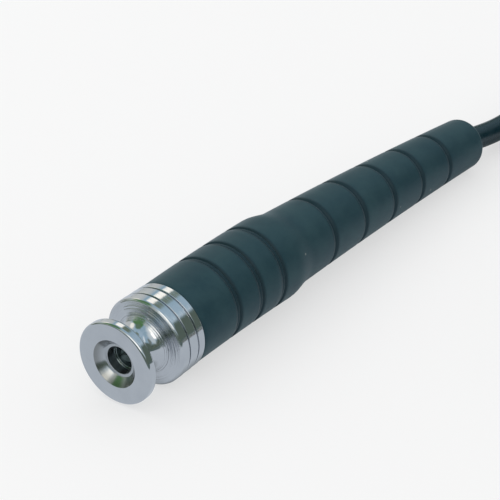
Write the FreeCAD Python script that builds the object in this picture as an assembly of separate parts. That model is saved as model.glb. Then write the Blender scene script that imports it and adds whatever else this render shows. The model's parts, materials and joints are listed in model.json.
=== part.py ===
"""Cable shutter release: sprung thumb button in a polished collar, soft ringed grip,
sheathed cable and a camera end with a knurled swivel collar and a tapered nipple.

Frame: +Z up, +X from the button towards the cable, origin on the resting plane under
the middle of the handle. Lengths in millimetres, angles in degrees.
"""
import FreeCAD, Part
import math
import os

V = FreeCAD.Vector
os.makedirs("parts", exist_ok=True)

# Clearances
RUN = 0.05                  # radial gap of a part that slides or turns in another
FIT = 0.05                  # radial gap of a part that is screwed or pressed into another
SOFT = 0.12                 # radial gap round the cable in the grip
STOP_GAP = 0.15             # between the plunger's flange and its buffer at rest
THREAD_ROOM = 0.30          # left free beyond a screw's end
EDGE = 0.15                 # chamfer of small turned edges

# Thumb button: disc, concave neck, foot
DISC_R = 7.0
DISC_T = 1.75
DISC_EDGE = 0.25            # chamfer of the disc's rim
SINK_R = 4.05               # countersink at the disc's face
SINK_FLOOR_R = 2.80         # it ends on a flat ring round the hole
SINK_DEPTH = 1.31
HOLE_R = 2.35
HOLE_DEPTH = 2.95
UNDERCUT_R = 2.55           # ring turned behind the hole
UNDERCUT_W = 0.25
WELL_R = 2.20               # well that holds the screw's head
NECK_WAIST_R = 3.55
NECK_LEAD = 0.06            # the straight foot begins this far before the shoulder
STOP_LIP = 0.50             # by which the plunger's flange is wider than the foot

# Screw, washer, plunger
SCREW_HEAD_R = 1.95
SCREW_HEAD_T = 1.40
SLOT_W = 0.50
SLOT_DEPTH = 0.60
WASHER_T = 0.40
WASHER_SPLIT = 0.40
SCREW_R = 1.20
SCREW_REACH = 3.20          # thread length in the plunger
WEB_T = 1.80                # floor between the well and the plunger's spigot
SPIGOT_R = 1.90
SPIGOT_T = 1.80
FLANGE_GAP = 0.10           # radial, in the barrel
FLANGE_T = 1.30
ROD_R = 1.50
ROD_TAIL = 1.40             # what sticks out behind the guide bush at rest
STROKE = 5.20

# Collar: front cap, ferrule, barrel
REST_GAP = 0.35             # from the pressed disc's back to the shoulder
RING_R = 7.40
RING_FALL = 0.05            # each ring is this much smaller than the one before it
RING_BEVEL = 0.42
RING1_W = 1.80
GROOVE_DEPTH = 0.50
GROOVE_W = 0.35
RING2_W = 1.80
RING3_W = 1.35
BARREL_WALL = 0.50
CAP_SPIGOT = 2.45
BUFFER_T = 0.50
SHANK_STEP = 0.50           # from a groove's floor down to the shank
SHANK_WALL = 0.45
SHANK_L = 4.10

# Spring and guide bush
SPRING_R = 3.40             # mean radius of the coils
SPRING_WIRE_R = 0.25
SPRING_SIDES = 4            # flats of its wire's section
SPRING_TURNS = 4
SPRING_CLOSE = 0.35         # pitch of the end turns, as a share of an open turn's
SPRING_ROOM = 3.90          # left for the pressed spring
BUSH_T = 1.60
BUSH_BOSS_R = 2.60
BUSH_BOSS_T = 1.10

# Cable: sheath, conduit, inner wire
CABLE_R = 2.15
CABLE_SIDES = 12            # flats of the cable's section
CONDUIT_R = 1.25
CONDUIT_BORE_R = 0.65
WIRE_R = 0.50
WIRE_HOLD = 4.00            # how far the wire is fixed in the rod or the pin
WIRE_INSIDE = 3.00          # what stays in the sheath when the pin is out
WIRE_ROOM = 2.00            # bore left free beyond the wire's end

# Cable anchor in the barrel's end
ANCHOR_FLANGE_T = 1.60
ANCHOR_R = 3.40
ANCHOR_ROOM = 0.80          # behind the pressed rod
ANCHOR_WEB = 0.80           # floor with the wire's hole
ANCHOR_TAIL_L = 5.00
ANCHOR_WALL = 0.45
CONDUIT_BARE = 1.80
CRIMP_T = 0.40
CRIMP_W = 2.60

# Grip: soft sleeve on a gently drooping centre line
GRIP_GAP = 0.10             # dark line between the last ring and the grip
GRIP_END = 99.0             # along the centre line, from the disc's face
GRIP_INSET = 0.08           # of its mouth, from the last ring
GRIP_SWELL = 0.09           # from the mouth to the front part's end
STEP_START = 38.0
STEP_END = 43.2
STEP_DROP = 0.81
GRIP_TAPER = 0.0342         # radius lost per millimetre behind the step
GRIP_LIP = 0.15             # rounding of the front edge
GRIP_END_ROUND = 1.20
FRONT_GROOVES = 3
FRONT_GROOVE_AT = 21.9
FRONT_GROOVE_PITCH = 5.9
FRONT_GROOVE_W = 1.15
REAR_GROOVES = 5
REAR_GROOVE_AT = 49.6
REAR_GROOVE_PITCH = 9.27
REAR_GROOVE_W = 1.00
RING_GROOVE_DEPTH = 0.36
BEND_START = 15.4           # straight up to here
BEND_CHANGE = 39.2
BEND_FRONT = 0.00251        # curvature between them, one over millimetres
BEND_REAR = 0.000886        # curvature behind

# Cable on the resting plane: places in plan are offsets from the grip's end
LEAD_START = 8.0            # the free stretch begins this far inside the grip
LEAD_OUT = 0.5              # it turns this far outside
LEAD_POINT = (9.2, -0.6, 3.10)
LEAD_FLAT = 15.8            # from here it runs level into the coil
COIL_AT = (25.6, -25.2)     # middle of the coil
COIL_R = 24.2               # outermost turn's centre line
COIL_SIDE_GAP = 0.60        # between neighbouring turns
COIL_TOP_GAP = 0.50         # between the two layers
COIL_LAYER_QUARTERS = 2     # quarter turns wound in each layer
TIE_T = 0.50
TIE_W = 4.0
TIE_GAP = 0.30
TIE_LOW = 0.05              # the tie lies this far over the resting plane
TAIL_DROP = 14.6            # from here the tail leaves the coil's top
TAIL_POINTS = [(4.6, -50.2, 5.70), (-5.9, -51.0, 3.95)]
TAIL_END = (-14.9, -51.6, 3.95)

# Camera end, along its own axis from the sheath's end
TIP_WALL = 0.80             # of the ferrule round the sheath
TIP_SOCKET = 7.0
TIP_HEAD_L = 8.0
TIP_SPIGOT_R = 2.10
TIP_SPIGOT_L = 6.1
TIP_SWAGE_R = 2.50
TIP_SWAGE_T = 0.60
TIP_CHAMBER_R = 1.35
TIP_CONDUIT_BARE = 3.0
COLLAR_R = 3.90
COLLAR_GAP = 0.30           # between the ferrule's head and the knurled collar
COLLAR_WALL = 0.60          # in front of the spigot's swaged head
SWAGE_GAP = 0.20            # end play of that head in the collar
COLLAR_RIM_R = 3.45         # plain rims at both ends of the knurled band
COLLAR_RIM = 0.45
KNURLS = 24
KNURL_DEPTH = 0.30
NOSE_R = 2.45
NOSE_L = 1.0
NIPPLE_R = 1.75
NIPPLE_TIP_R = 1.45
NIPPLE_L = 5.5
NIPPLE_EDGE = 0.30
PIN_R = 0.65
PIN_HEAD_R = 1.20
PIN_HEAD_T = 1.00
PIN_HEAD_GAP = 1.00         # from the conduit's end to the pin's head
PIN_RECESS = 0.60           # how far the pin lies inside the nipple at rest
BOOT_L = 20.0
BOOT_WALL = 0.40            # round the ferrule
BOOT_END_WALL = 0.45        # round the sheath
BOOT_RIBS = 3
BOOT_GROOVE_W = 1.20
BOOT_RIB_DEPTH = 0.22
BOOT_OVERLAP = 5.0          # what covers the ferrule
BOOT_HOLD = 3.0             # how far the free tail reaches into the boot

AXIS = V(1, 0, 0)


def turned(outline):
    """Solid of revolution about X from a closed list of (x, r) corners.

    A corner written (x, r, "arc") is the middle point of an arc between its neighbours.
    """
    edges = []
    count = len(outline)
    i = 0
    while i < count:
        here, after = outline[i], outline[(i + 1) % count]
        a = V(here[0], 0, here[1])
        if len(after) == 3:
            end = outline[(i + 2) % count]
            edges.append(Part.Arc(a, V(after[0], 0, after[1]), V(end[0], 0, end[1])).toShape())
            i += 2
        else:
            edges.append(Part.LineSegment(a, V(after[0], 0, after[1])).toShape())
            i += 1
    face = Part.Face(Part.Wire(edges))
    return face.revolve(V(0, 0, 0), AXIS, 360)


def rod_x(r, x0, x1):
    return Part.makeCylinder(r, x1 - x0, V(x0, 0, 0), AXIS)


def corner_arc(before, corner, after, reach):
    """Arc tangent to both runs at a corner, touching them at the distance reach."""
    a = (before - corner).normalize()
    b = (after - corner).normalize()
    half = a.getAngle(b) / 2
    middle = (a + b).normalize()
    start, end = corner + a * reach, corner + b * reach
    radius = reach * math.tan(half)
    return start, Part.Arc(start, corner + middle * (reach / math.cos(half) - radius), end), end, radius


def route_wire(points):
    """Straight runs joined by tangent arcs as large as the shorter run allows."""
    edges, radii = [], []
    at = points[0]
    for before, corner, after in zip(points, points[1:], points[2:]):
        reach = 0.45 * min((corner - before).Length, (after - corner).Length)
        start, arc, end, radius = corner_arc(before, corner, after, reach)
        edges.append(Part.LineSegment(at, start).toShape())
        edges.append(arc.toShape())
        radii.append(radius)
        at = end
    edges.append(Part.LineSegment(at, points[-1]).toShape())
    return Part.Wire(edges), radii


def biarc(p0, t0, p1, t1):
    """Two arcs that join p0 to p1 with the unit tangents t0 and t1."""
    chord = p1 - p0
    both = t0 + t1
    spread = 2 * (1 - t0.dot(t1))
    along = chord.dot(both)
    if spread < 1e-9:
        reach = chord.dot(chord) / (2 * along)
    else:
        reach = (-along + math.sqrt(along ** 2 + spread * chord.dot(chord))) / spread
    q0, q1 = p0 + t0 * reach, p1 - t1 * reach
    joint = (q0 + q1) * 0.5
    arcs = []
    for start, corner, end in ((p0, q0, joint), (joint, q1, p1)):
        _, arc, _, _ = corner_arc(start, corner, end, reach)
        arcs.append(arc.toShape())
    return arcs


def pipe(wire, radius, start, direction, sides):
    """Tube along a wire, its section a polygon with as much area as the circle."""
    corner_r = radius * math.sqrt(2 * math.pi / (sides * math.sin(2 * math.pi / sides)))
    turn = FreeCAD.Placement(start, FreeCAD.Rotation(V(0, 0, 1), direction))
    corners = []
    for i in range(sides + 1):
        angle = 2 * math.pi * (i + 0.5) / sides
        corners.append(turn.multVec(V(corner_r * math.cos(angle), corner_r * math.sin(angle), 0)))
    return wire.makePipeShell([Part.makePolygon(corners)], True, False)


def wound_wire(stations):
    """Biarcs through a list of (point, tangent)."""
    edges = []
    for (p0, t0), (p1, t1) in zip(stations, stations[1:]):
        edges += biarc(p0, t0, p1, t1)
    return edges


def self_gap(edges, radius, skip):
    """Least gap of a tube to itself, measured on points along its line."""
    points, walked, at = [], [], 0.0
    for edge in edges:
        samples = edge.discretize(12)[:-1]
        for i, p in enumerate(samples):
            points.append(p)
            walked.append(at + edge.Length * i / len(samples))
        at += edge.Length
    least = math.inf
    for i, p in enumerate(points):
        for j in range(i + 1, len(points)):
            if walked[j] - walked[i] > skip:
                least = min(least, (points[j] - p).Length - 2 * radius)
    return least


def centre(s):
    """Point and downward slope of the handle's centre line at the length s, before it is laid down."""
    x, drop, slope = min(s, BEND_START), 0.0, 0.0
    for begin, end, bend in ((BEND_START, BEND_CHANGE, BEND_FRONT), (BEND_CHANGE, math.inf, BEND_REAR)):
        run = min(s, end) - begin
        if run > 0:
            turn = bend * run
            x += (math.sin(slope + turn) - math.sin(slope)) / bend
            drop += (math.cos(slope) - math.cos(slope + turn)) / bend
            slope += turn
    return V(x, 0, -drop), slope


def along(s):
    """Unit direction of the centre line at s."""
    slope = centre(s)[1]
    return V(math.cos(slope), 0, -math.sin(slope))


def ring_wire(s, r):
    """Circle round the centre line at s, always started on the same side."""
    point, slope = centre(s)
    ring = Part.Wire([Part.Circle(V(0, 0, 0), AXIS, r).toShape()])
    ring.rotate(V(0, 0, 0), V(0, 1, 0), math.degrees(slope))
    ring.translate(point)
    return ring


# Radii that follow from the front ring, from the outside in
ring2_r = RING_R - RING_FALL
ring3_r = ring2_r - RING_FALL
groove_r = RING_R - GROOVE_DEPTH
shank_r = groove_r - SHANK_STEP
barrel_r = shank_r - SHANK_WALL - FIT
barrel_bore_r = barrel_r - BARREL_WALL
flange_r = barrel_bore_r - FLANGE_GAP
foot_r = barrel_bore_r - STOP_LIP
grip_mouth_r = ring3_r - GRIP_INSET
grip_front_r = grip_mouth_r + GRIP_SWELL
grip_rear_r = grip_front_r - STEP_DROP
ferrule_r = CABLE_R + FIT + TIP_WALL
boot_r = ferrule_r + FIT + BOOT_WALL
boot_end_r = CABLE_R + FIT + BOOT_END_WALL

# Stations along the button and collar, from the disc's face
shoulder_x = DISC_T + STROKE + REST_GAP
neck_end = shoulder_x - NECK_LEAD
ring1_end = shoulder_x + RING1_W
ferrule_x = ring1_end + GROOVE_W / 2
ring2_x = ring1_end + GROOVE_W
groove2_x = ring2_x + RING2_W
ring3_x = groove2_x + GROOVE_W
collar_end = ring3_x + RING3_W
buffer_x = ferrule_x + CAP_SPIGOT
barrel_x = buffer_x + BUFFER_T
foot_end = barrel_x + STOP_GAP
rod_start = foot_end + FLANGE_T
bush_x = rod_start + STROKE + SPRING_ROOM
anchor_x = bush_x + BUSH_T
barrel_end = anchor_x + ANCHOR_FLANGE_T
rod_end = anchor_x + ROD_TAIL
head_floor = rod_end + STROKE + ANCHOR_ROOM
head_end = head_floor + ANCHOR_WEB
sheath_x = head_end + CONDUIT_BARE
anchor_end = sheath_x + ANCHOR_TAIL_L
web_x = foot_end - SPIGOT_T - WEB_T
spigot_x = foot_end - SPIGOT_T


def make_thumb_button():
    well_x = HOLE_DEPTH + UNDERCUT_W
    waist_x = (DISC_T + neck_end) / 2
    return turned([
        (0, SINK_R), (0, DISC_R - DISC_EDGE), (DISC_EDGE, DISC_R),
        (DISC_T - DISC_EDGE, DISC_R), (DISC_T, DISC_R - DISC_EDGE), (DISC_T, foot_r),
        (waist_x, NECK_WAIST_R, "arc"), (neck_end, foot_r),
        (foot_end, foot_r), (foot_end, SPIGOT_R + FIT), (spigot_x, SPIGOT_R + FIT),
        (spigot_x, SCREW_R + FIT), (web_x, SCREW_R + FIT), (web_x, WELL_R),
        (well_x, WELL_R), (well_x, UNDERCUT_R), (HOLE_DEPTH, UNDERCUT_R),
        (HOLE_DEPTH, HOLE_R), (SINK_DEPTH, HOLE_R), (SINK_DEPTH, SINK_FLOOR_R)])


def make_button_screw():
    washer_x = web_x - WASHER_T
    head_x = washer_x - SCREW_HEAD_T
    screw = turned([
        (head_x, 0), (head_x, SCREW_HEAD_R - EDGE), (head_x + EDGE, SCREW_HEAD_R),
        (washer_x, SCREW_HEAD_R), (washer_x, SCREW_R),
        (spigot_x + SCREW_REACH, SCREW_R), (spigot_x + SCREW_REACH, 0)])
    slot = Part.makeBox(SLOT_DEPTH, 2 * SCREW_HEAD_R, SLOT_W, V(head_x, -SCREW_HEAD_R, -SLOT_W / 2))
    return screw.cut(slot)


def make_lock_washer():
    washer_x = web_x - WASHER_T
    ring = rod_x(SCREW_HEAD_R, washer_x, web_x).cut(rod_x(SCREW_R + FIT, washer_x, web_x))
    split = Part.makeBox(WASHER_T, WASHER_SPLIT, SCREW_HEAD_R, V(washer_x, -WASHER_SPLIT / 2, 0))
    return ring.cut(split)


def make_plunger():
    thread_end = spigot_x + SCREW_REACH + THREAD_ROOM
    return turned([
        (spigot_x, SCREW_R + FIT), (spigot_x, SPIGOT_R), (foot_end, SPIGOT_R),
        (foot_end, flange_r), (rod_start, flange_r), (rod_start, ROD_R),
        (rod_end - EDGE, ROD_R), (rod_end, ROD_R - EDGE), (rod_end, WIRE_R + FIT),
        (rod_end - WIRE_HOLD, WIRE_R + FIT), (rod_end - WIRE_HOLD, 0),
        (thread_end, 0), (thread_end, SCREW_R + FIT)])


def make_handle_wire():
    return rod_x(WIRE_R, rod_end - WIRE_HOLD + FIT, sheath_x)


def make_front_cap():
    return turned([
        (shoulder_x, foot_r + RUN), (shoulder_x, RING_R - RING_BEVEL),
        (shoulder_x + RING_BEVEL, RING_R), (ring1_end, RING_R), (ring1_end, groove_r),
        (ferrule_x, groove_r), (ferrule_x, barrel_r), (buffer_x, barrel_r),
        (buffer_x, foot_r + RUN)])


def make_ferrule():
    shank_end = collar_end + SHANK_L
    return turned([
        (ferrule_x, barrel_r + FIT), (ferrule_x, groove_r), (ring2_x, groove_r),
        (ring2_x, ring2_r), (groove2_x, ring2_r), (groove2_x, groove_r),
        (ring3_x, groove_r), (ring3_x, ring3_r), (collar_end, ring3_r), (collar_end, shank_r),
        (shank_end, shank_r), (shank_end, barrel_r + FIT)])


def make_buffer_ring():
    return turned([(buffer_x, foot_r + RUN), (buffer_x, barrel_r), (barrel_x, barrel_r),
                   (barrel_x, foot_r + RUN)])


def make_barrel():
    return turned([(barrel_x, barrel_bore_r), (barrel_x, barrel_r), (barrel_end, barrel_r),
                   (barrel_end, barrel_bore_r)])


def make_return_spring():
    """Close end turns and open middle turns, from the plunger's flange to the guide bush."""
    inset = SPRING_WIRE_R + 2 * FIT
    start = rod_start + inset
    steps = 4 * SPRING_TURNS
    rise = [0.0]
    for k in range(steps):
        opened = min(k + 0.5, steps - k - 0.5, 4) / 4
        rise.append(rise[-1] + SPRING_CLOSE + opened)
    scale = (bush_x - inset - start) / rise[-1]
    stations = []
    for k, climbed in enumerate(rise):
        turn = k * math.pi / 2
        slope = 0.0 if k in (0, steps) else scale * (rise[k + 1] - rise[k - 1]) / math.pi
        point = V(start + scale * climbed, SPRING_R * math.cos(turn), SPRING_R * math.sin(turn))
        tangent = V(slope, -SPRING_R * math.sin(turn), SPRING_R * math.cos(turn)).normalize()
        stations.append((point, tangent))
    edges = wound_wire(stations)
    print("return_spring gap to itself %.2f" % self_gap(edges, SPRING_WIRE_R, 4 * SPRING_R))
    return pipe(Part.Wire(edges), SPRING_WIRE_R, *stations[0], SPRING_SIDES)


def make_guide_bush():
    boss_x = bush_x - BUSH_BOSS_T
    return turned([
        (boss_x, ROD_R + RUN), (boss_x, BUSH_BOSS_R), (bush_x, BUSH_BOSS_R),
        (bush_x, barrel_bore_r - FIT), (anchor_x, barrel_bore_r - FIT), (anchor_x, ROD_R + RUN)])


def make_cable_anchor():
    tail_r = CABLE_R + FIT + ANCHOR_WALL
    return turned([
        (anchor_x, ROD_R + 2 * RUN), (anchor_x, barrel_bore_r - FIT), (barrel_end, barrel_bore_r - FIT),
        (barrel_end, ANCHOR_R), (sheath_x, ANCHOR_R), (sheath_x, tail_r), (anchor_end, tail_r),
        (anchor_end, CABLE_R + FIT), (sheath_x, CABLE_R + FIT), (sheath_x, CONDUIT_R + FIT),
        (head_end, CONDUIT_R + FIT), (head_end, CONDUIT_BORE_R), (head_floor, CONDUIT_BORE_R),
        (head_floor, ROD_R + 2 * RUN)])


def make_conduit_rear():
    return rod_x(CONDUIT_R, head_end, sheath_x).cut(rod_x(CONDUIT_BORE_R, head_end, sheath_x))


def make_crimp_ring():
    inner = CABLE_R + FIT + ANCHOR_WALL + FIT
    outer = inner + CRIMP_T
    start = (sheath_x + anchor_end - CRIMP_W) / 2
    end = start + CRIMP_W
    return turned([(start, inner), (start, outer), (end, outer), (end, inner)])


def held_cable_line():
    """Line of the cable from the anchor to where the free stretch starts, inside the grip."""
    end = GRIP_END - LEAD_START
    straight = Part.LineSegment(V(sheath_x, 0, 0), V(anchor_end, 0, 0)).toShape()
    return [straight] + biarc(V(anchor_end, 0, 0), AXIS, centre(end)[0], along(end))


def make_handle_cable():
    cable = pipe(Part.Wire(held_cable_line()), CABLE_R, V(sheath_x, 0, 0), AXIS, CABLE_SIDES)
    return cable.cut(rod_x(CONDUIT_BORE_R, sheath_x, sheath_x + STROKE + WIRE_ROOM))


def grip_radius(s):
    """Outer radius of the grip without its grooves."""
    if s <= STEP_START:
        share = (s - collar_end) / (STEP_START - collar_end)
        return grip_mouth_r + (grip_front_r - grip_mouth_r) * share
    if s >= STEP_END:
        return grip_rear_r - GRIP_TAPER * (s - STEP_END)
    share = (s - STEP_START) / (STEP_END - STEP_START)
    ease = share * share * (3 - 2 * share)
    return grip_front_r + (grip_rear_r - grip_front_r) * ease


def groove_stations():
    """The front grooves have a flat floor, the rear ones are V-shaped."""
    stations = []
    for i in range(FRONT_GROOVES):
        middle = FRONT_GROOVE_AT + i * FRONT_GROOVE_PITCH
        half = FRONT_GROOVE_W / 2
        stations += [(middle - half, 0), (middle - half / 2, 1), (middle + half / 2, 1), (middle + half, 0)]
    for i in range(REAR_GROOVES):
        middle = REAR_GROOVE_AT + i * REAR_GROOVE_PITCH
        half = REAR_GROOVE_W / 2
        stations += [(middle - half, 0), (middle, 1), (middle + half, 0)]
    return [(s, grip_radius(s) - depth * RING_GROOVE_DEPTH) for s, depth in stations]


def grip_stations():
    start = collar_end + GRIP_GAP
    stations = [(start, grip_radius(start) - GRIP_LIP), (start + GRIP_LIP, grip_radius(start))]
    stations += groove_stations()
    for share in (0, 0.25, 0.5, 0.75, 1):
        s = STEP_START + share * (STEP_END - STEP_START)
        stations.append((s, grip_radius(s)))
    round_start = GRIP_END - GRIP_END_ROUND
    for turn in (0, 30, 60, 90):
        angle = math.radians(turn)
        s = round_start + GRIP_END_ROUND * math.sin(angle)
        stations.append((s, grip_radius(round_start) - GRIP_END_ROUND * (1 - math.cos(angle))))
    return sorted(stations)


def make_grip_sleeve():
    body = Part.makeLoft([ring_wire(s, r) for s, r in grip_stations()], True, True)
    shank_room = rod_x(shank_r + FIT, collar_end, collar_end + SHANK_L)
    barrel_room = rod_x(barrel_r + FIT, collar_end, barrel_end)
    anchor_room = rod_x(ANCHOR_R + SOFT, anchor_x, anchor_end)
    joint = centre(GRIP_END - LEAD_START)[0]
    beyond = joint + along(GRIP_END - LEAD_START) * 2 * LEAD_START
    channel_line = held_cable_line() + [Part.LineSegment(joint, beyond).toShape()]
    channel = pipe(Part.Wire(channel_line), CABLE_R + SOFT, V(sheath_x, 0, 0), AXIS, CABLE_SIDES)
    for room in (shank_room, barrel_room, anchor_room, channel):
        body = body.cut(room)
    return body


# Laying the handle down: its front ring and its far end touch the resting plane
def resting_pose():
    ring_low = V(shoulder_x + RING_BEVEL, 0, -RING_R)
    last = GRIP_END - GRIP_END_ROUND
    point, slope = centre(last)
    grip_low = point - V(math.sin(slope), 0, math.cos(slope)) * grip_radius(last)
    tilt = math.atan2(ring_low.z - grip_low.z, grip_low.x - ring_low.x)
    lay = FreeCAD.Placement(V(0, 0, 0), FreeCAD.Rotation(V(0, 1, 0), -math.degrees(tilt)))
    return tilt, lay, -lay.multVec(ring_low).z


tilt, lay, lift = resting_pose()
front_edge = -(DISC_R - DISC_EDGE) * math.sin(tilt)
end_point = lay.multVec(centre(GRIP_END)[0])
end_slope = centre(GRIP_END)[1] - tilt
end_face_r = grip_radius(GRIP_END - GRIP_END_ROUND) - GRIP_END_ROUND
back_edge = end_point.x + end_face_r * math.sin(end_slope)
lay = FreeCAD.Placement(V(-(front_edge + back_edge) / 2, 0, lift), lay.Rotation)
button_axis = lay.Rotation.multVec(AXIS)
grip_end = lay.multVec(centre(GRIP_END)[0])
print("tilt %.3f deg, axis (%.6f, 0, %.6f)" % (math.degrees(tilt), button_axis.x, button_axis.z))
print("disc centre", tuple(round(c, 4) for c in lay.Base))
print("grip end", tuple(round(c, 4) for c in grip_end))


def from_end(point):
    """A point given from the grip's end in plan, with its own height."""
    return V(grip_end.x + point[0], grip_end.y + point[1], point[2])


# The cable's free route
pitch = 2 * CABLE_R + COIL_SIDE_GAP
layer = 2 * CABLE_R + COIL_TOP_GAP
coil_base = TIE_LOW + TIE_T + TIE_GAP + CABLE_R
coil_middle = from_end((COIL_AT[0], COIL_AT[1], coil_base))
coil_steps = 2 * COIL_LAYER_QUARTERS + 2
climb_middle = COIL_LAYER_QUARTERS + 1


def coil_station(k):
    """Point and tangent of the wound cable at quarter turn k, seen from above clockwise.

    It spirals in on the resting plane, climbs a layer in two quarters and spirals out on top.
    """
    angle = math.pi / 2 - k * math.pi / 2
    radius = COIL_R - pitch * min(k, coil_steps - k) / 4.0
    if k in (0, climb_middle, coil_steps):
        drift = 0.0
    else:
        drift = math.copysign(pitch / (2 * math.pi), k - climb_middle)
    climbed = min(max((k - COIL_LAYER_QUARTERS) / 2.0, 0.0), 1.0)
    rising = layer / 2 if k == climb_middle else 0.0
    out = V(math.cos(angle), math.sin(angle), 0)
    forward = V(math.sin(angle), -math.cos(angle), 0)
    point = coil_middle + out * radius + V(0, 0, layer * climbed)
    return point, (forward * radius + out * drift + V(0, 0, rising)).normalize()


def coil_route():
    """The coil's edges with a straight cable's width at both ends, and those ends."""
    stations = [coil_station(k) for k in range(coil_steps + 1)]
    (first, enter), (last, leave) = stations[0], stations[-1]
    start, end = first - enter * 2 * CABLE_R, last + leave * 2 * CABLE_R
    edges = [Part.LineSegment(start, first).toShape()]
    edges += wound_wire(stations)
    edges.append(Part.LineSegment(last, end).toShape())
    return edges, start, end


coil_line, coil_in, coil_out = coil_route()


def lead_route():
    start = lay.multVec(centre(GRIP_END - LEAD_START)[0])
    ahead = lay.Rotation.multVec(along(GRIP_END - LEAD_START))
    return [start, start + ahead * (LEAD_START + LEAD_OUT), from_end(LEAD_POINT),
            V(grip_end.x + LEAD_FLAT, coil_in.y, coil_in.z), coil_in]


def tail_route():
    return [coil_out, V(grip_end.x + TAIL_DROP, coil_out.y, coil_out.z),
            from_end(TAIL_POINTS[0]), from_end(TAIL_POINTS[1]), from_end(TAIL_END)]


def report_tube(name, wire, solid):
    exact = math.pi * CABLE_R ** 2 * wire.Length
    print("%s: line %.1f mm, volume ratio %.4f" % (name, wire.Length, solid.Volume / exact))


def free_stretch(name, points):
    wire, radii = route_wire(points)
    solid = pipe(wire, CABLE_R, points[0], points[1] - points[0], CABLE_SIDES)
    report_tube(name, wire, solid)
    print("  radii", [round(r, 1) for r in radii])
    print("  route", [tuple(round(c, 2) for c in p) for p in points])
    return solid


def make_cable_lead():
    return free_stretch("cable_lead", lead_route())


def make_cable_coil():
    wire = Part.Wire(coil_line)
    solid = pipe(wire, CABLE_R, coil_in, AXIS, CABLE_SIDES)
    report_tube("cable_coil", wire, solid)
    print("  gap to itself %.2f" % self_gap(coil_line, CABLE_R, COIL_R))
    return solid


def make_cable_tail():
    return free_stretch("cable_tail", tail_route())


def make_coil_tie():
    """Flat strap round both layers a quarter turn into the coil, its end lapped over itself."""
    low = coil_station(1)[0] - V(0, TIE_W / 2, 0)
    faces = []
    for r in (CABLE_R + TIE_GAP + TIE_T, CABLE_R + TIE_GAP):
        top = low + V(0, 0, layer)
        left, right = V(-r, 0, 0), V(r, 0, 0)
        faces.append(Part.Face(Part.Wire([
            Part.LineSegment(low + left, top + left).toShape(),
            Part.Arc(top + left, top + V(0, 0, r), top + right).toShape(),
            Part.LineSegment(top + right, low + right).toShape(),
            Part.Arc(low + right, low - V(0, 0, r), low + left).toShape()])))
    strap = faces[0].cut(faces[1]).extrude(V(0, TIE_W, 0))
    outside = low - V(CABLE_R + TIE_GAP + 2 * TIE_T, 0, 0)
    return strap.fuse(Part.makeBox(TIE_T, TIE_W, layer, outside)).removeSplitter()


# Camera end
boot_start = BOOT_OVERLAP - TIP_SOCKET - BOOT_L
tip_cable_start = boot_start + BOOT_HOLD
tip_forward = (from_end(TAIL_END) - from_end(TAIL_POINTS[-1])).normalize()
tip_origin = from_end(TAIL_END) - tip_forward * tip_cable_start
tip_pose = FreeCAD.Placement(tip_origin, FreeCAD.Rotation(AXIS, tip_forward))


def at_tip(shape):
    shape = shape.copy()
    shape.Placement = tip_pose.multiply(shape.Placement)
    return shape


spigot_end = TIP_HEAD_L + TIP_SPIGOT_L
collar_x = TIP_HEAD_L + COLLAR_GAP
swage_floor = spigot_end + SWAGE_GAP
collar_front = swage_floor + COLLAR_WALL
nipple_x = collar_front + NOSE_L
nipple_end = nipple_x + NIPPLE_L
pin_head_x = TIP_CONDUIT_BARE + PIN_HEAD_GAP
pin_hole_end = pin_head_x + WIRE_HOLD


def make_tip_ferrule():
    swage_x = spigot_end - TIP_SWAGE_T
    return at_tip(turned([
        (-TIP_SOCKET, CABLE_R + FIT), (-TIP_SOCKET, ferrule_r), (TIP_HEAD_L - EDGE, ferrule_r),
        (TIP_HEAD_L, ferrule_r - EDGE), (TIP_HEAD_L, TIP_SPIGOT_R), (swage_x, TIP_SPIGOT_R),
        (swage_x, TIP_SWAGE_R), (spigot_end, TIP_SWAGE_R), (spigot_end, TIP_CHAMBER_R),
        (0, TIP_CHAMBER_R), (0, CABLE_R + FIT)]))


def make_tip_cable():
    """The sheath's last stretch, straight through the boot into the ferrule."""
    bored = rod_x(CONDUIT_BORE_R, -(WIRE_INSIDE + STROKE + WIRE_ROOM), 0)
    return at_tip(rod_x(CABLE_R, tip_cable_start, 0).cut(bored))


def make_conduit_front():
    tube = rod_x(CONDUIT_R, 0, TIP_CONDUIT_BARE).cut(rod_x(CONDUIT_BORE_R, 0, TIP_CONDUIT_BARE))
    return at_tip(tube)


def make_swivel_collar():
    lip_x = spigot_end - TIP_SWAGE_T - RUN
    recess_r = TIP_SWAGE_R + 2 * RUN
    bore = PIN_R + RUN
    band_start, band_end = collar_x + COLLAR_RIM, collar_front - COLLAR_RIM
    body = turned([
        (collar_x, TIP_SPIGOT_R + RUN), (collar_x, COLLAR_RIM_R), (collar_front, COLLAR_RIM_R),
        (collar_front, NOSE_R), (nipple_x, NOSE_R), (nipple_x, NIPPLE_R),
        (nipple_end - NIPPLE_EDGE, NIPPLE_TIP_R), (nipple_end, NIPPLE_TIP_R - NIPPLE_EDGE),
        (nipple_end, bore), (swage_floor, bore), (swage_floor, recess_r), (lip_x, recess_r),
        (lip_x, TIP_SPIGOT_R + RUN)])
    band_start, band_end = collar_x + COLLAR_RIM, collar_front - COLLAR_RIM
    corners = []
    for i in range(2 * KNURLS + 1):
        r = COLLAR_R - KNURL_DEPTH * (i % 2)
        angle = math.pi * i / KNURLS
        corners.append(V(band_start, r * math.cos(angle), r * math.sin(angle)))
    knurled = Part.Face(Part.makePolygon(corners)).extrude(V(band_end - band_start, 0, 0))
    return at_tip(body.fuse(knurled.cut(rod_x(COLLAR_RIM_R, band_start, band_end))))


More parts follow.
